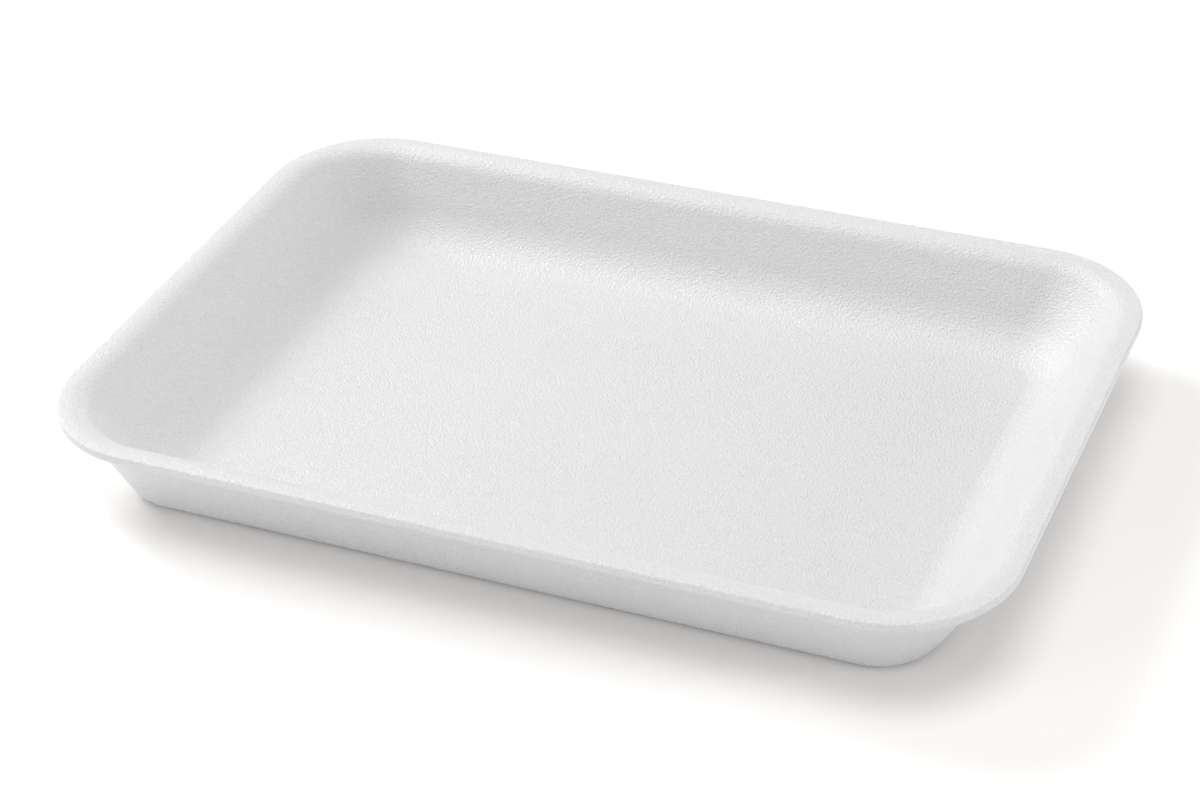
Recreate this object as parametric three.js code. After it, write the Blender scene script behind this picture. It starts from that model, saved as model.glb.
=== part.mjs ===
/**
 * A foam tray: a shallow rectangular food tray, formed in one piece from expanded foam sheet.
 *
 * The tray is one closed shell, open at the top. It has a flat floor, four leaning walls, deep
 * soft corners and a narrow flat lip all round its rim. Millimetres, +Z up. The origin is on the
 * table, under the middle of the base. The length lies along X.
 */
import * as THREE from 'three';

// The whole tray, measured over the lip.
const LENGTH = 216;
const WIDTH = 146.8;
const HEIGHT = 21.1;
const RIM_CORNER_RADIUS = 26.8; // in plan, at the outer edge of the lip

// The lip.
const LIP_THICKNESS = 2.15; // from its underside to its top
const LIP_CREST = 2.2; // from the outer edge to the lip's highest line
const LIP_CROWN_RADIUS = 25; // from the crest out to the edge
const LIP_UPPER_EDGE_RADIUS = 0.6;
const LIP_LOWER_EDGE_RADIUS = 0.5;
const LIP_INNER_RADIUS = 6; // from the crest into the wall
const LIP_ROOT_RADIUS = 1.5; // under the lip, into the outside of the wall

// The floor and the base. A soft crease runs round the floor, where the walls' sweep meets it at
// a small angle. The corners get rounder from the rim down.
const FLOOR_THICKNESS = 2.4;
const CREASE_RADIUS = 1.5;
const CREASE_TURN = THREE.MathUtils.degToRad(9);
const FOOT_RADIUS = 3.8; // outside, from the wall into the base
const FLOOR_CORNER_GROWTH = 4; // how much rounder the floor's corners are than the rim's
const BASE_CORNER_GROWTH = 1.8;
const CORNER_GROWTH_POWER = 1.5; // of the growth with the depth

// The walls. The inside leans outwards by an angle from upright and comes down to the floor in a
// sweep. The outside has a lean of its own, and meets the underside of the lip at a distance in
// from the lip's outer edge.
const END_WALL = {
  lean: THREE.MathUtils.degToRad(36.5),
  sweep: 13.1,
  outerLean: THREE.MathUtils.degToRad(33),
  inset: 3.35,
};
const SIDE_WALL = {
  lean: THREE.MathUtils.degToRad(30.5),
  sweep: 15.2,
  outerLean: THREE.MathUtils.degToRad(21.8),
  inset: 3.84,
};

// How finely the round stretches are divided.
const CORNER_STEPS = 12; // round each corner of the outline
const CREASE_STEPS = 1;
const SWEEP_STEPS = 7;
const LIP_INNER_STEPS = 6;
const LIP_CROWN_STEPS = 2;
const LIP_EDGE_STEPS = 2;
const LIP_ROOT_STEPS = 3;
const FOOT_STEPS = 4;

const QUARTER_TURN = Math.PI / 2;
const HALF_TURN = Math.PI;

// The corners of the outline, anticlockwise from above, by the side of the middle each lies on.
const CORNERS = [
  { sideX: 1, sideY: 1 },
  { sideX: -1, sideY: 1 },
  { sideX: -1, sideY: -1 },
  { sideX: 1, sideY: -1 },
];

/** Points along an arc of the section, from one angle to the other. */
function arc(x, y, radius, from, to, steps) {
  const clockwise = to < from;
  return new THREE.ArcCurve(x, y, radius, from, to, clockwise).getPoints(steps);
}

/** Arcs that touch end to end, as one run of points with each shared point in it once. */
function joined(...arcs) {
  return arcs.flatMap((points, index) => (index === 0 ? points : points.slice(1)));
}

/** The inside of a wall: the crease, the sweep up from it, and the lip's inner rounding. */
function insideOf({ lean, sweep }) {
  const wallTopX = LIP_CREST + LIP_INNER_RADIUS * Math.cos(lean);
  const wallTopY = HEIGHT - LIP_INNER_RADIUS * (1 - Math.sin(lean));
  const creaseRise = CREASE_RADIUS * (1 - Math.cos(CREASE_TURN));
  const sweepY = FLOOR_THICKNESS + creaseRise + sweep * Math.cos(CREASE_TURN);
  const sweepTopY = sweepY - sweep * Math.sin(lean);
  const sweepX = wallTopX + (wallTopY - sweepTopY) * Math.tan(lean) + sweep * Math.cos(lean);
  const creaseX = sweepX - (sweep - CREASE_RADIUS) * Math.sin(CREASE_TURN);
  const low = HALF_TURN + QUARTER_TURN;
  return [
    ...joined(
      arc(creaseX, FLOOR_THICKNESS + CREASE_RADIUS, CREASE_RADIUS,
        low, low - CREASE_TURN, CREASE_STEPS),
      arc(sweepX, sweepY, sweep, low - CREASE_TURN, HALF_TURN + lean, SWEEP_STEPS),
    ),
    ...arc(LIP_CREST, HEIGHT - LIP_INNER_RADIUS, LIP_INNER_RADIUS,
      lean, QUARTER_TURN, LIP_INNER_STEPS),
  ];
}

/** The outer part of the lip: its crown, which slopes down to the edge, and the edge. */
function lipEdge() {
  const turn = Math.asin(
    (LIP_CREST - LIP_UPPER_EDGE_RADIUS) / (LIP_CROWN_RADIUS - LIP_UPPER_EDGE_RADIUS));
  const upperY = HEIGHT - LIP_CROWN_RADIUS
    + (LIP_CROWN_RADIUS - LIP_UPPER_EDGE_RADIUS) * Math.cos(turn);
  const lowerY = HEIGHT - LIP_THICKNESS + LIP_LOWER_EDGE_RADIUS;
  const crown = arc(LIP_CREST, HEIGHT - LIP_CROWN_RADIUS, LIP_CROWN_RADIUS,
    QUARTER_TURN, QUARTER_TURN + turn, LIP_CROWN_STEPS);
  const upper = arc(LIP_UPPER_EDGE_RADIUS, upperY, LIP_UPPER_EDGE_RADIUS,
    QUARTER_TURN + turn, HALF_TURN, LIP_EDGE_STEPS);
  const lower = arc(LIP_LOWER_EDGE_RADIUS, lowerY, LIP_LOWER_EDGE_RADIUS,
    HALF_TURN, HALF_TURN + QUARTER_TURN, LIP_EDGE_STEPS);
  return [...joined(crown, upper).slice(1), ...lower];
}

/** The outside of a wall: the rounding under the lip, and the foot. */
function outsideOf({ outerLean, inset }) {
  const lipUnderside = HEIGHT - LIP_THICKNESS;
  const outsideAt = (height) => inset + (lipUnderside - height) * Math.tan(outerLean);
  const rootPoint = lipUnderside - LIP_ROOT_RADIUS * (1 - Math.sin(outerLean));
  const rootX = outsideAt(rootPoint) - LIP_ROOT_RADIUS * Math.cos(outerLean);
  const footPoint = FOOT_RADIUS * (1 - Math.sin(outerLean));
  const footX = outsideAt(footPoint) + FOOT_RADIUS * Math.cos(outerLean);
  return [
    ...arc(rootX, lipUnderside - LIP_ROOT_RADIUS, LIP_ROOT_RADIUS,
      QUARTER_TURN, outerLean, LIP_ROOT_STEPS),
    ...arc(footX, FOOT_RADIUS, FOOT_RADIUS,
      HALF_TURN + outerLean, HALF_TURN + QUARTER_TURN, FOOT_STEPS),
  ];
}

/**
 * The section through one wall, as points that run from the edge of the flat floor up the
 * inside, over the lip and down the outside to the edge of the flat base. In it, x is the
 * distance in from the lip's outer edge and y is the height. Arcs stand for every rounding, and
 * the straight stretches are the gaps between one arc's end and the next one's start. Each point
 * also says how much rounder the corners are there than the rim's.
 */
function wallSection(wall) {
  const inside = insideOf(wall);
  const outside = [...lipEdge(), ...outsideOf(wall)];
  return [
    ...inside.map((point) => ({ point, growth: cornerGrowth(point.y, true) })),
    ...outside.map((point) => ({ point, growth: cornerGrowth(point.y, false) })),
  ];
}

/** How much rounder the corners are at a height: a power of the depth below the lip. */
function cornerGrowth(height, isInside) {
  const top = HEIGHT - LIP_THICKNESS;
  const lowest = isInside ? FLOOR_THICKNESS : 0;
  const depth = THREE.MathUtils.clamp((top - height) / (top - lowest), 0, 1);
  const most = isInside ? FLOOR_CORNER_GROWTH : BASE_CORNER_GROWTH;
  return most * depth ** CORNER_GROWTH_POWER;
}

/**
 * The directions, as angles in plan, that the outline faces on its way round: each corner turns
 * through a quarter, and the straight edges join one corner's last point to the next one's first.
 */
function outlineDirections() {
  const steps = Array.from({ length: CORNER_STEPS + 1 }, (_, index) => index / CORNER_STEPS);
  return CORNERS.flatMap((corner, turns) =>
    steps.map((share) => ({ ...corner, angle: (turns + share) * QUARTER_TURN })));
}

/**
 * One point of the shell. Going round a corner, the section changes smoothly from that of the
 * end wall to that of the side wall, and the corner grows rounder than the rim's from the end
 * section's growth.
 */
function shellPoint({ point: endPoint, growth }, { point: sidePoint }, direction) {
  const { angle, sideX, sideY } = direction;
  const sideShare = Math.sin(angle) ** 2;
  const { x: inset, y: height } = endPoint.clone().lerp(sidePoint, sideShare);
  const radius = RIM_CORNER_RADIUS + growth - inset;
  const centreX = sideX * (LENGTH / 2 - RIM_CORNER_RADIUS - growth);
  const centreY = sideY * (WIDTH / 2 - RIM_CORNER_RADIUS - growth);
  return new THREE.Vector3(
    centreX + radius * Math.cos(angle),
    centreY + radius * Math.sin(angle),
    height,
  );
}

/** The triangles that join each ring of the shell to the one after it, facing out of the foam. */
function ringTriangles(ringCount, ringLength) {
  const triangles = [];
  for (let ring = 0; ring < ringCount - 1; ring += 1) {
    const here = ring * ringLength;
    const after = here + ringLength;
    for (let step = 0; step < ringLength; step += 1) {
      const next = (step + 1) % ringLength;
      triangles.push(here + step, after + step, after + next);
      triangles.push(here + step, after + next, here + next);
    }
  }
  return triangles;
}

/** The triangles of a flat face: a fan from its middle to the ring that bounds it. */
function fanTriangles(firstOfRing, ringLength, middle, facesUp) {
  const triangles = [];
  for (let step = 0; step < ringLength; step += 1) {
    const here = firstOfRing + step;
    const next = firstOfRing + ((step + 1) % ringLength);
    triangles.push(middle, ...(facesUp ? [here, next] : [next, here]));
  }
  return triangles;
}

/** The closed surface of the tray: the floor, the rings of the walls and lip, and the base. */
function trayGeometry() {
  const endSection = wallSection(END_WALL);
  const sideSection = wallSection(SIDE_WALL);
  const directions = outlineDirections();
  const points = endSection.flatMap((endPoint, index) =>
    directions.map((direction) => shellPoint(endPoint, sideSection[index], direction)));

  const ringLength = directions.length;
  const floorMiddle = points.push(new THREE.Vector3(0, 0, FLOOR_THICKNESS)) - 1;
  const baseMiddle = points.push(new THREE.Vector3(0, 0, 0)) - 1;
  const lastRing = (endSection.length - 1) * ringLength;

  const geometry = new THREE.BufferGeometry().setFromPoints(points);
  geometry.setIndex([
    ...fanTriangles(0, ringLength, floorMiddle, true),
    ...ringTriangles(endSection.length, ringLength),
    ...fanTriangles(lastRing, ringLength, baseMiddle, false),
  ]);
  geometry.computeVertexNormals();
  return geometry;
}

/** White foam with a satin skin. */
const foam = new THREE.MeshStandardMaterial({ color: 0xf2f2f0, roughness: 0.6, metalness: 0 });

const tray = new THREE.Mesh(trayGeometry(), foam);
tray.name = 'tray';

const model = new THREE.Group();
model.add(tray);

export default model;
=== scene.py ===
"""A white foam food tray on a pale table, in soft studio light.

The file is laid out as a Blender add-on and runs as a script. One operator forms the tray, as a
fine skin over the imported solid, and another sets the stage. Lengths are in metres.
"""
from math import asin, cos, pi, radians, sin, tan

import bpy
import numpy as np
from bpy.props import FloatProperty, FloatVectorProperty, IntProperty, PointerProperty
from mathutils import Matrix, Vector


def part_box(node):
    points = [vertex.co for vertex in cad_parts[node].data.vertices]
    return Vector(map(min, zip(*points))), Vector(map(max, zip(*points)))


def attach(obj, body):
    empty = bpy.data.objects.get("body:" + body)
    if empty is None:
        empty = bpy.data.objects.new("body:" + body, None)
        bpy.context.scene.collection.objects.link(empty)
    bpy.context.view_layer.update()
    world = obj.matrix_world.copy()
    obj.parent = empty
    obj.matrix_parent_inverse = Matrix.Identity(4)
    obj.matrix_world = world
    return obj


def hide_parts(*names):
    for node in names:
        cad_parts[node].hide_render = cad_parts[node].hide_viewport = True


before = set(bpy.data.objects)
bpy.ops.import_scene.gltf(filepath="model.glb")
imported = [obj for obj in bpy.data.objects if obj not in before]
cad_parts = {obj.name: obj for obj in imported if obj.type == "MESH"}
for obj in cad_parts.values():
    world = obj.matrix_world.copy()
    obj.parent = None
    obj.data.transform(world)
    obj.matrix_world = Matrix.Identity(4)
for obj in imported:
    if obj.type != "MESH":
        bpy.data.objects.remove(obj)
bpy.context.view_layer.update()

bl_info = {
    "name": "Foam tray",
    "version": (1, 0, 0),
    "blender": (4, 5, 0),
    "location": "View3D > Sidebar > Foam Tray",
    "description": "Forms a white foam food tray and the stage that it is shown on",
    "category": "Add Mesh",
}

NODE = "tray"
BODY = "root"

QUARTER = pi / 2
HALF = pi
TOUCH = 1e-7  # pieces of a profile closer than this touch
SMALLEST = 1e-12  # keeps a length from nought before it divides
GROWTH_POWER = 1.5  # of the corners' growth down the walls

# How finely the round stretches of a wall's section are divided.
CREASE_STEPS = 5
SWEEP_STEPS = 22
LIP_INNER_STEPS = 12
LIP_CROWN_STEPS = 5
LIP_EDGE_STEPS = 4
LIP_ROOT_STEPS = 4
FOOT_STEPS = 6

# Steps across the gap after each stretch: crease, sweep, lip's inside, crown, upper edge, lower
# edge, root and foot. The wall's inside and outside are the two long gaps.
GAP_STEPS = (1, 10, 1, 1, 3, 3, 16, 0)

# How finely the outline and the two flat faces are divided.
CORNER_STEPS = 48
LONG_EDGE_STEPS = 200
SHORT_EDGE_STEPS = 116
FLOOR_STEPS = 9
BASE_STEPS = 6

RELIEF_RISE = 0.004  # height above the floor over which the relief comes in
EDGE_FACING = (0.2, 0.7)  # how far sideways a point faces, where the nicks start and are full
WAVE_COUNT = 40  # waves that add up to one noise
WAVE_LENGTHS = (0.75, 1.35)  # shortest and longest wave, as shares of the span

CELL_SMOOTHNESS = 0.6
GRAIN_DETAIL = 1.0
GRAIN_ROUGHNESS = 0.5
GRAIN_RANGE = (0.3, 0.7)  # of the grain's noise, from the deepest painted shade in its dips to none
MOTTLE_SCALE = 60.0
MOTTLE_DETAIL = 3.0

# Sockets of the Mix node when it mixes colours, which share their names.
MIX_SHARE = 0
MIX_FIRST = 6
MIX_SECOND = 7
MIX_RESULT = 2

# Name, azimuth, elevation and width in degrees, strength, and distance in metres. A lamp at no
# distance is far away.
LAMPS = (
    ("key_lamp", 246, 36, 19, 1.28, 1.2),
    ("low_key_lamp", 258, 27, 19, 0.42, 1.2),
    ("high_left_lamp", 270, 60, 40, 0.22, 2.0),
    ("top_lamp", 0, 90, 40, 1.13, 0),
    ("right_lamp", 103, 12, 24, 0.8, 0),
    ("front_right_lamp", 80, 12, 24, 0.27, 0),
    ("front_lamp", 334, 12, 24, 0.46, 0),
    ("front_left_lamp", 305, 25, 30, 0.4, 0),
    ("back_lamp", 180, 12, 24, 0.4, 0),
)


# ---------------------------------------------------------------------------------------------
# Properties
# ---------------------------------------------------------------------------------------------


def length(name, description, default):
    """A length in metres that a user can change."""
    return FloatProperty(
        name=name, description=description, default=default, min=0.0, precision=5, unit="LENGTH"
    )


def angle(name, description, degrees):
    """An angle that a user can change, given here in degrees."""
    return FloatProperty(
        name=name, description=description, default=radians(degrees), subtype="ANGLE"
    )


def share(name, description, default):
    """A number from 0 to 1 that a user can change."""
    return FloatProperty(
        name=name, description=description, default=default, min=0.0, max=1.0, subtype="FACTOR"
    )


class FoamTrayShape(bpy.types.PropertyGroup):
    """The tray's form. Its overall length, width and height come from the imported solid."""

    corner_radius: length("Rim corner", "Radius of the rim's corners, seen from above", 0.0268)

    lip_thickness: length("Lip thickness", "From the lip's underside to its top", 0.00215)
    lip_crest: length("Lip crest", "From the lip's outer edge to its highest line", 0.0022)
    lip_crown_radius: length("Lip crown", "Rounding from the crest out to the edge", 0.025)
    lip_inner_radius: length("Lip inner rounding", "From the crest into the wall", 0.006)
    lip_upper_radius: length("Lip upper edge", "Rounding of the edge's upper corner", 0.0006)
    lip_lower_radius: length("Lip lower edge", "Rounding of the edge's lower corner", 0.0005)
    lip_root_radius: length("Lip root", "Rounding between the lip's underside and the wall", 0.0015)

    floor_thickness: length("Floor thickness", "From the table to the top of the floor", 0.0024)
    foot_radius: length("Foot rounding", "From the outside of the wall into the base", 0.0038)
    crease_radius: length("Crease rounding", "Rounding of the crease round the floor", 0.0015)
    crease_turn: angle("Crease turn", "How steeply the walls' sweep meets the floor", 9)

    floor_corner_growth: length(
        "Floor corner growth", "How much rounder the floor's corners are than the rim's", 0.004
    )
    base_corner_growth: length(
        "Base corner growth", "How much rounder the base's corners are than the rim's", 0.0018
    )

    end_lean: angle("End lean", "How far an end wall's inside leans out", 36.5)
    end_sweep: length("End sweep", "Rounding from an end wall's inside to the floor", 0.0131)
    end_outer_lean: angle("End outer lean", "How far an end wall's outside leans out", 33)
    end_inset: length("End inset", "From the lip's edge to the outside of an end wall", 0.00335)
    side_lean: angle("Side lean", "How far a side wall's inside leans out", 30.5)
    side_sweep: length("Side sweep", "Rounding from a side wall's inside to the floor", 0.0152)
    side_outer_lean: angle("Side outer lean", "How far a side wall's outside leans out", 21.8)
    side_inset: length("Side inset", "From the lip's edge to the outside of a side wall", 0.00384)

    warp_depth: length("Warp depth", "How far the slow waves in the walls go in", 0.00012)
    warp_span: length("Warp span", "From one slow wave to the next", 0.045)
    peel_depth: length("Peel depth", "How deep the orange peel of the skin is", 0.00002)
    peel_span: length("Peel span", "From one dimple of the orange peel to the next", 0.0022)
    nick_depth: length("Edge nicks", "How deep the lip's cut edge is nicked", 0.00004)
    nick_span: length("Nick span", "From one nick of the lip's edge to the next", 0.0016)
    seed: IntProperty(name="Seed", description="Chooses the waves of the relief", default=7)


class FoamTrayFinish(bpy.types.PropertyGroup):
    """The look of the foam."""

    colour: FloatVectorProperty(
        name="Foam colour",
        description="Colour of the foam's skin",
        default=(0.715, 0.712, 0.726),
        min=0.0,
        max=1.0,
        subtype="COLOR",
    )
    mottle: share("Mottle", "How far the colour varies from place to place", 0.02)
    roughness: share("Roughness", "How matt the skin is", 0.35)
    cell_size: length("Cell size", "Width of the foam's cells under the skin", 0.0009)
    cell_depth: length("Cell depth", "How far the cells show as dimples", 0.00002)
    grain_size: length("Grain size", "Width of the fine grain", 0.0005)
    grain_depth: length("Grain depth", "How deep the fine grain is", 0.0003)
    # Painted shade: the grain's dips are darkened in the colour, as though shade fell in them.
    grain_painted_shade: share("Grain shade", "How much darker the grain's dips are", 0.05)


class FoamTrayStage(bpy.types.PropertyGroup):
    """The camera, lights and table."""

    camera_azimuth: angle("Camera azimuth", "From the front, towards the right", 24.191)
    camera_elevation: angle("Camera elevation", "Above the table", 33.799)
    camera_roll: angle("Camera roll", "Turn about the line of sight", -2.692)
    camera_distance: length("Camera distance", "From the middle of the tray's base", 0.64021)
    camera_right: FloatProperty(
        name="Camera right", description="Sideways offset", default=-0.0021, unit="LENGTH"
    )
    camera_up: FloatProperty(
        name="Camera up", description="Upwards offset", default=0.00603, unit="LENGTH"
    )
    lens: FloatProperty(
        name="Lens",
        description="Focal length on a 36 mm wide sensor",
        default=85.48,
        unit="CAMERA",
    )

    light_level: FloatProperty(
        name="Light level", description="Brightness of all the lamps together", default=1.0
    )
    sky_level: share("Sky", "Brightness of the even light from all round", 0.36)
    table_colour: FloatVectorProperty(
        name="Table colour",
        description="Colour of the table",
        default=(0.99, 0.984, 0.972),
        min=0.0,
        max=1.0,
        subtype="COLOR",
    )
    sky_colour: FloatVectorProperty(
        name="Sky colour",
        description="Colour of the even light from all round",
        default=(1.0, 0.985, 0.96),
        min=0.0,
        max=1.0,
        subtype="COLOR",
    )
    table_span: length("Table span", "Width of the table top", 6.0)


# ---------------------------------------------------------------------------------------------
# Surfaces, as whole arrays
# ---------------------------------------------------------------------------------------------


def arc(centre, radius, start, stop, steps):
    """Points on a circle: the centre plus the radius times the cosine and sine of an angle that
    goes evenly from start to stop."""
    turn = np.linspace(start, stop, steps + 1)
    return np.column_stack([centre[0] + radius * np.cos(turn), centre[1] + radius * np.sin(turn)])


def joined(pieces, steps):
    """The pieces of a profile, end to end, with the straight gap after each piece divided into
    that many even steps, and one point where two pieces touch."""
    parts = []
    for piece, following, count in zip(pieces, pieces[1:] + [None], steps):
        touching = following is not None and np.allclose(piece[-1], following[0], atol=TOUCH)
        parts.append(piece[:-1] if touching else piece)
        if following is not None:
            along = np.linspace(0.0, 1.0, count + 1)[1:-1, None]
            parts.append(piece[-1] + (following[0] - piece[-1]) * along)
    return np.concatenate(parts)


def inside_arcs(shape, height, lean, sweep):
    """The roundings of a wall's inside: the crease round the floor, the sweep up to the wall and
    the lip's inner rounding. Each touches its neighbours, so the sweep's centre lies one sweep
    radius off the crease's end, across the crease's turn, and as far in that its other end lies
    on the line of the wall."""
    crest, lip = shape.lip_crest, shape.lip_inner_radius
    crease, turn = shape.crease_radius, shape.crease_turn
    wall_top_x = crest + lip * cos(lean)
    wall_top_z = height - lip * (1 - sin(lean))
    sweep_z = shape.floor_thickness + crease * (1 - cos(turn)) + sweep * cos(turn)
    sweep_top_z = sweep_z - sweep * sin(lean)
    sweep_x = wall_top_x + (wall_top_z - sweep_top_z) * tan(lean) + sweep * cos(lean)
    crease_x = sweep_x - (sweep - crease) * sin(turn)
    low = HALF + QUARTER
    return [
        arc((crease_x, shape.floor_thickness + crease), crease, low, low - turn, CREASE_STEPS),
        arc((sweep_x, sweep_z), sweep, low - turn, HALF + lean, SWEEP_STEPS),
        arc((crest, height - lip), lip, lean, QUARTER, LIP_INNER_STEPS),
    ]


def lip_arcs(shape, height):
    """The lip's crown, from its crest down to the edge, and the edge's two roundings. The crown
    ends where its slope is that of the upper rounding, so the sine of its turn is the width
    between their centres over the difference of their radii."""
    crown, upper, lower = shape.lip_crown_radius, shape.lip_upper_radius, shape.lip_lower_radius
    turn = asin((shape.lip_crest - upper) / (crown - upper))
    upper_z = height - crown + (crown - upper) * cos(turn)
    lower_z = height - shape.lip_thickness + lower
    return [
        arc((shape.lip_crest, height - crown), crown, QUARTER, QUARTER + turn, LIP_CROWN_STEPS),
        arc((upper, upper_z), upper, QUARTER + turn, HALF, LIP_EDGE_STEPS),
        arc((lower, lower_z), lower, HALF, HALF + QUARTER, LIP_EDGE_STEPS),
    ]


def outside_arcs(shape, height, lean, inset):
    """The roundings of a wall's outside: under the lip, and into the base. Both touch the line
    that leans out from the wall's inset at the lip's underside."""
    foot, root = shape.foot_radius, shape.lip_root_radius
    underside = height - shape.lip_thickness
    root_x = inset + root * (1 - sin(lean)) * tan(lean) - root * cos(lean)
    foot_x = inset + (underside - foot * (1 - sin(lean))) * tan(lean) + foot * cos(lean)
    return [
        arc((root_x, underside - root), root, QUARTER, lean, LIP_ROOT_STEPS),
        arc((foot_x, foot), foot, HALF + lean, HALF + QUARTER, FOOT_STEPS),
    ]


def wall_section(shape, height, lean, sweep, outer_lean, inset):
    """The section through one wall, from the edge of the flat floor up the inside, over the lip
    and down the outside to the edge of the flat base, as arcs with straight stretches between.
    The first column is the distance in from the lip's outer edge, the second the height."""
    pieces = [
        *inside_arcs(shape, height, lean, sweep),
        *lip_arcs(shape, height),
        *outside_arcs(shape, height, outer_lean, inset),
    ]
    return joined(pieces, GAP_STEPS)


def outline(corner_steps, long_steps, short_steps):
    """The rim's outline, anticlockwise from the right-hand end: for each point, the direction
    that it faces as an angle, and its place on a square that reaches one each way. Round a corner
    the direction turns and the place stays; along an edge the place moves."""
    signs = np.array([[1, 1], [-1, 1], [-1, -1], [1, -1]])
    angles, places = [], []
    for turn, sign in enumerate(signs):
        following = signs[(turn + 1) % len(signs)]
        edge_steps = long_steps if turn % 2 == 0 else short_steps
        along = np.linspace(0.0, 1.0, edge_steps + 1)[1:-1, None]
        angles.append((turn + np.linspace(0.0, 1.0, corner_steps + 1)) * QUARTER)
        angles.append(np.full(len(along), (turn + 1) * QUARTER))
        places.append(np.tile(sign, (corner_steps + 1, 1)))
        places.append(sign + (following - sign) * along)
    return np.concatenate(angles), np.concatenate(places)


def corner_growth(shape, section, height):
    """How much rounder the corners are, at each point of the section, than lines parallel to the
    rim would be: a power of the depth below the lip, as a share of the whole depth, times the
    growth at the floor on the inside and at the base on the outside."""
    inset, level = section.T
    inside = np.arange(len(section)) < np.argmin(inset)
    lowest = np.where(inside, shape.floor_thickness, 0.0)
    top = height - shape.lip_thickness
    depth = np.clip((top - level) / (top - lowest), 0.0, 1.0)
    most = np.where(inside, shape.floor_corner_growth, shape.base_corner_growth)
    return most * depth**GROWTH_POWER


def shell(shape, sections, half_spans, angles, places):
    """Rings of points, one for each point of the section. A ring's corners are arcs about the
    centres of the corners, with the rim's corner radius, less the distance in from the rim, plus
    the corners' growth. The section goes from the end wall's to the side wall's by the square of
    the direction's sine."""
    height = half_spans[2]
    side = np.sin(angles)[None, :] ** 2
    ends, sides = sections
    inset, level = (
        ends[:, column, None] * (1 - side) + sides[:, column, None] * side for column in (0, 1)
    )
    growth = corner_growth(shape, ends, height)[:, None]
    reach = shape.corner_radius + growth - inset
    turned = (np.cos(angles), np.sin(angles))
    flat = [
        places[None, :, axis] * (half_spans[axis] - shape.corner_radius - growth)
        + reach * turned[axis]
        for axis in (0, 1)
    ]
    return np.stack([*flat, level], axis=-1)


def flat_rings(edge, count):
    """Rings that shrink evenly from the edge ring towards the middle of a flat face, without the
    edge itself: the edge's place in plan times a share that falls from one."""
    shares = np.linspace(1.0, 0.0, count + 1)[1:-1, None]
    rings = np.repeat(edge[None], len(shares), axis=0)
    rings[..., :2] *= shares[..., None]
    return rings


def wave_noise(points, span, seed):
    """Smooth noise between about -1 and 1: a sum of cosine waves that run in random directions
    through space, with lengths round the span and random phases, so that its mean square is a
    quarter."""
    draw = np.random.default_rng(seed)
    direction = draw.normal(size=(WAVE_COUNT, 3))
    direction /= np.linalg.norm(direction, axis=1, keepdims=True)
    pitch = 2 * pi / (span * draw.uniform(*WAVE_LENGTHS, size=(WAVE_COUNT, 1)))
    phase = draw.uniform(0, 2 * pi, size=WAVE_COUNT)
    return np.cos(points @ (direction * pitch).T + phase).sum(axis=-1) / np.sqrt(2 * WAVE_COUNT)


def ring_normals(rings):
    """Unit vectors out of the foam: the step to the next ring across the step along the ring."""
    along = np.roll(rings, -1, axis=1) - np.roll(rings, 1, axis=1)
    across = np.gradient(rings, axis=0)
    normals = np.cross(across, along)
    return normals / np.maximum(np.linalg.norm(normals, axis=-1, keepdims=True), SMALLEST)


def smooth_step(value, low, high):
    """Nought below low, one above high, and a cubic with level ends between them."""
    t = np.clip((value - low) / (high - low), 0.0, 1.0)
    return t * t * (3 - 2 * t)


def relief(shape, rings, height):
    """How far each point is pressed into the foam: slow waves in the walls and lip, the orange
    peel of the skin, and nicks along the lip's cut edge. It is never less than nought, so that
    the tray keeps its overall size, and it fades out at the floor's level and at the base."""
    level, floor = rings[..., 2], shape.floor_thickness
    raised = smooth_step(level, floor, floor + RELIEF_RISE)
    warp = 0.5 + 0.5 * wave_noise(rings, shape.warp_span, shape.seed)
    peel = 0.5 + 0.5 * wave_noise(rings, shape.peel_span, shape.seed + 1)
    nick = np.maximum(wave_noise(rings, shape.nick_span, shape.seed + 2), 0.0)
    out = np.abs(ring_normals(rings)[..., :2]).max(axis=-1)
    on_lip = smooth_step(level, height - shape.lip_thickness, height)
    edge = on_lip * smooth_step(out, *EDGE_FACING)
    skin = shape.warp_depth * np.clip(warp, 0, 1) + shape.peel_depth * np.clip(peel, 0, 1)
    return raised * skin + shape.nick_depth * nick * edge


def ring_faces(ring_count, ring_length):
    """Quads between each ring and the next, as vertex numbers, facing out of the foam."""
    ring, step = np.meshgrid(np.arange(ring_count - 1), np.arange(ring_length), indexing="ij")
    here, after = ring * ring_length, (ring + 1) * ring_length
    following = (step + 1) % ring_length
    corners = [here + step, after + step, after + following, here + following]
    return np.stack(corners, axis=-1).reshape(-1, 4)


def fan_faces(first, ring_length, middle, turned):
    """Triangles from the middle of a flat face to its smallest ring."""
    step = np.arange(ring_length)
    here, following = first + step, first + (step + 1) % ring_length
    pair = [following, here] if turned else [here, following]
    return np.column_stack([np.full(ring_length, middle), *pair])


def make_mesh(name, points, quads, triangles):
    """A smooth-shaded mesh object at the origin, filled from whole arrays."""
    mesh = bpy.data.meshes.new(name)
    corners = np.concatenate([quads.ravel(), triangles.ravel()]).astype(np.int32)
    sizes = np.concatenate([np.full(len(quads), 4), np.full(len(triangles), 3)])
    starts = np.concatenate([[0], np.cumsum(sizes)[:-1]]).astype(np.int32)
    mesh.vertices.add(len(points))
    mesh.vertices.foreach_set("co", points.astype(np.float32).ravel())
    mesh.loops.add(len(corners))
    mesh.loops.foreach_set("vertex_index", corners)
    mesh.polygons.add(len(sizes))
    mesh.polygons.foreach_set("loop_start", starts)
    mesh.polygons.foreach_set("use_smooth", np.ones(len(sizes), dtype=bool))
    mesh.update(calc_edges=True)
    if mesh.validate():
        raise RuntimeError(f"the mesh of {name} has faulty faces")
    piece = bpy.data.objects.new(name, mesh)
    bpy.context.scene.collection.objects.link(piece)
    return piece


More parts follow.
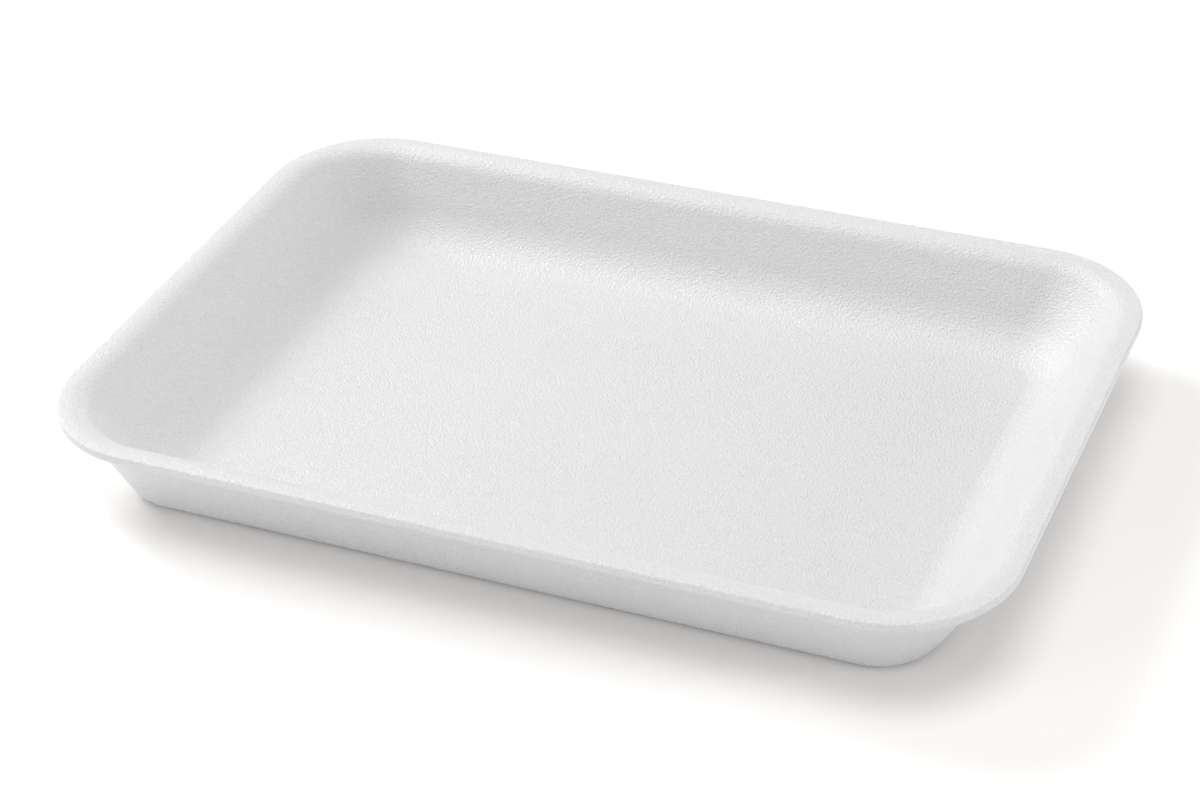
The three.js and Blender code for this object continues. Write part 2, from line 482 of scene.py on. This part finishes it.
def tray_mesh(shape):
    """The closed skin of the tray: floor rings, the shell over the lip, and base rings."""
    low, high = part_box(NODE)
    height = high.z
    ends = (shape.end_lean, shape.end_sweep, shape.end_outer_lean, shape.end_inset)
    sides = (shape.side_lean, shape.side_sweep, shape.side_outer_lean, shape.side_inset)
    sections = [wall_section(shape, height, *walls) for walls in (ends, sides)]
    rings = shell(shape, sections, high, *outline(CORNER_STEPS, LONG_EDGE_STEPS, SHORT_EDGE_STEPS))
    rings = rings - ring_normals(rings) * relief(shape, rings, height)[..., None]
    floor = flat_rings(rings[0], FLOOR_STEPS)[::-1]
    base = flat_rings(rings[-1], BASE_STEPS)
    rings = np.concatenate([floor, rings, base])

    ring_count, ring_length = rings.shape[:2]
    middles = np.array([[0, 0, shape.floor_thickness], [0, 0, low.z]])
    points = np.concatenate([rings.reshape(-1, 3), middles])
    floor_middle, base_middle = len(points) - 2, len(points) - 1
    triangles = np.concatenate(
        [
            fan_faces(0, ring_length, floor_middle, turned=False),
            fan_faces((ring_count - 1) * ring_length, ring_length, base_middle, turned=True),
        ]
    )
    return make_mesh("foam_tray", points, ring_faces(ring_count, ring_length), triangles)


# ---------------------------------------------------------------------------------------------
# Materials
# ---------------------------------------------------------------------------------------------


class NodeBench:
    """A small helper that adds nodes to one material and joins them up."""

    def __init__(self, name):
        self.material = bpy.data.materials.new(name)
        self.material.use_nodes = True
        self.tree = self.material.node_tree
        self.shader = self.tree.nodes["Principled BSDF"]

    def add(self, kind, values=(), **settings):
        """A new node with its settings, and its input sockets set or linked by name."""
        node = self.tree.nodes.new(kind)
        for setting, value in settings.items():
            setattr(node, setting, value)
        for socket, value in dict(values).items():
            self.feed(node, socket, value)
        return node

    def feed(self, node, socket, value):
        """Sets an input socket to a plain value, or links another node's output to it."""
        if isinstance(value, bpy.types.NodeSocket):
            self.tree.links.new(value, node.inputs[socket])
        else:
            node.inputs[socket].default_value = value

    def scaled(self, source, factor):
        """The source times a factor."""
        return self.add("ShaderNodeMath", {0: source, 1: factor}, operation="MULTIPLY").outputs[0]

    def summed(self, first, second):
        """The sum of two sources."""
        return self.add("ShaderNodeMath", {0: first, 1: second}, operation="ADD").outputs[0]


def foam_material(finish):
    """White foam: a fine leathery grain with painted shade darkening its dips, over the faint
    roundness of the cells below, with a slow mottle."""
    bench = NodeBench("white_foam")
    place = bench.add("ShaderNodeTexCoord").outputs["Object"]
    cells = bench.add(
        "ShaderNodeTexVoronoi",
        {"Vector": place, "Scale": 1 / finish.cell_size, "Smoothness": CELL_SMOOTHNESS},
        feature="SMOOTH_F1",
    ).outputs["Distance"]
    grain = bench.add(
        "ShaderNodeTexNoise",
        {
            "Vector": place,
            "Scale": 1 / finish.grain_size,
            "Detail": GRAIN_DETAIL,
            "Roughness": GRAIN_ROUGHNESS,
        },
    ).outputs["Fac"]
    mottle = bench.add(
        "ShaderNodeTexNoise",
        {"Vector": place, "Scale": MOTTLE_SCALE, "Detail": MOTTLE_DETAIL},
    ).outputs["Fac"]

    height = bench.summed(
        bench.scaled(cells, finish.cell_depth), bench.scaled(grain, finish.grain_depth)
    )
    bump = bench.add("ShaderNodeBump", {"Height": height, "Distance": 1.0})

    # Painted shade: the colour is darkened in the grain's dips, as though shade fell in them.
    painted_dip_shade = bench.add(
        "ShaderNodeMapRange",
        {
            "Value": grain,
            "From Min": GRAIN_RANGE[0],
            "From Max": GRAIN_RANGE[1],
            "To Min": 1 - finish.grain_painted_shade,
        },
    ).outputs["Result"]
    patches = bench.add(
        "ShaderNodeMapRange", {"Value": mottle, "To Min": 1 - finish.mottle}
    ).outputs["Result"]
    # The painted shade of the dips, times the random mottle of the foam's tone.
    painted_shade_and_mottle = bench.add("ShaderNodeMath", {0: painted_dip_shade, 1: patches}, operation="MULTIPLY").outputs[0]
    colour = bench.add(
        "ShaderNodeMix",
        {MIX_SHARE: painted_shade_and_mottle, MIX_FIRST: (0.0, 0.0, 0.0, 1.0), MIX_SECOND: (*finish.colour, 1.0)},
        data_type="RGBA",
    ).outputs[MIX_RESULT]

    bench.feed(bench.shader, "Base Color", colour)
    bench.feed(bench.shader, "Roughness", finish.roughness)
    bench.feed(bench.shader, "Normal", bump.outputs["Normal"])
    return bench.material


def table_material(stage):
    """A plain pale table top."""
    bench = NodeBench("pale_table")
    bench.feed(bench.shader, "Base Color", (*stage.table_colour, 1.0))
    bench.feed(bench.shader, "Roughness", 1.0)
    bench.feed(bench.shader, "Specular IOR Level", 0.0)
    return bench.material


# ---------------------------------------------------------------------------------------------
# Operators
# ---------------------------------------------------------------------------------------------


class FOAMTRAY_OT_form_tray(bpy.types.Operator):
    """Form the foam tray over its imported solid"""

    bl_idname = "foam_tray.form_tray"
    bl_label = "Form Tray"

    def execute(self, context):
        piece = tray_mesh(context.scene.foam_tray_shape)
        piece.data.materials.append(foam_material(context.scene.foam_tray_finish))
        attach(piece, BODY)
        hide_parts(NODE)
        return {"FINISHED"}


def sight_axes(azimuth, elevation):
    """Unit vectors to the right, up and back of a view from that azimuth and elevation."""
    back = Vector((sin(azimuth) * cos(elevation), -cos(azimuth) * cos(elevation), sin(elevation)))
    right = Vector((cos(azimuth), sin(azimuth), 0.0))
    return right, back.cross(right), back


def add_table(stage):
    """A flat square table top under the tray."""
    half = stage.table_span / 2
    corners = np.array([[-half, -half, 0], [half, -half, 0], [half, half, 0], [-half, half, 0]])
    table = make_mesh("table_top", corners, np.array([[0, 1, 2, 3]]), np.empty((0, 3), int))
    table.data.materials.append(table_material(stage))


def add_camera(stage):
    """The camera at the photograph's angle: back along the line of sight, then sideways and up."""
    right, up, back = sight_axes(stage.camera_azimuth, stage.camera_elevation)
    roll = stage.camera_roll
    across = right * cos(roll) + up * sin(roll)
    upright = up * cos(roll) - right * sin(roll)
    place = back * stage.camera_distance + across * stage.camera_right + upright * stage.camera_up
    camera = bpy.data.objects.new("camera", bpy.data.cameras.new("camera"))
    camera.matrix_world = Matrix(
        [[*row, shift] for row, shift in zip(zip(across, upright, back), place)] + [[0, 0, 0, 1]]
    )
    camera.data.lens = stage.lens
    camera.data.clip_end = 100.0
    bpy.context.scene.collection.objects.link(camera)
    bpy.context.scene.camera = camera


def add_lamps(stage):
    """The studio lamps, each a wide soft light that faces the tray. The azimuth goes from the
    front towards the right, the elevation up from the table, and the width is how wide the lamp
    looks from the tray. A near lamp is a disk, whose power grows with its distance squared so
    that it lights the tray with its strength."""
    for name, azimuth, elevation, width, strength, distance in LAMPS:
        lamp = bpy.data.lights.new(name, "AREA" if distance else "SUN")
        light = bpy.data.objects.new(name, lamp)
        back = sight_axes(radians(azimuth), radians(elevation))[2]
        light.rotation_euler = back.to_track_quat("Z", "Y").to_euler()
        if distance:
            light.location = back * distance
            lamp.shape = "DISK"
            lamp.size = 2 * distance * tan(radians(width) / 2)
            lamp.energy = strength * stage.light_level * pi * distance**2
        else:
            lamp.angle = radians(width)
            lamp.energy = strength * stage.light_level
        bpy.context.scene.collection.objects.link(light)


def add_sky(stage):
    """Even light from all round."""
    world = bpy.data.worlds.new("studio")
    world.use_nodes = True
    background = world.node_tree.nodes["Background"]
    background.inputs["Strength"].default_value = stage.sky_level
    background.inputs["Color"].default_value = (*stage.sky_colour, 1.0)
    bpy.context.scene.world = world


class FOAMTRAY_OT_set_stage(bpy.types.Operator):
    """Set out the table, the lights and the camera"""

    bl_idname = "foam_tray.set_stage"
    bl_label = "Set Stage"

    def execute(self, context):
        stage = context.scene.foam_tray_stage
        add_table(stage)
        add_camera(stage)
        add_lamps(stage)
        add_sky(stage)
        context.scene.view_settings.view_transform = "Standard"
        return {"FINISHED"}


class FOAMTRAY_PT_panel(bpy.types.Panel):
    """Lists the steps that make the tray and its stage"""

    bl_idname = "FOAMTRAY_PT_panel"
    bl_label = "Foam Tray"
    bl_space_type = "VIEW_3D"
    bl_region_type = "UI"
    bl_category = "Foam Tray"

    def draw(self, context):
        for operator in (FOAMTRAY_OT_form_tray, FOAMTRAY_OT_set_stage):
            self.layout.operator(operator.bl_idname)


GROUPS = {
    "foam_tray_shape": FoamTrayShape,
    "foam_tray_finish": FoamTrayFinish,
    "foam_tray_stage": FoamTrayStage,
}
CLASSES = (*GROUPS.values(), FOAMTRAY_OT_form_tray, FOAMTRAY_OT_set_stage, FOAMTRAY_PT_panel)


def register():
    """Adds the classes, and hangs the property groups on the scene."""
    for cls in CLASSES:
        bpy.utils.register_class(cls)
    for name, group in GROUPS.items():
        setattr(bpy.types.Scene, name, PointerProperty(type=group))


def unregister():
    """Takes the property groups and the classes away again."""
    for name in GROUPS:
        delattr(bpy.types.Scene, name)
    for cls in reversed(CLASSES):
        bpy.utils.unregister_class(cls)


def main():
    """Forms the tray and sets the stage."""
    register()
    bpy.ops.foam_tray.form_tray()
    bpy.ops.foam_tray.set_stage()


if __name__ == "__main__":
    main()
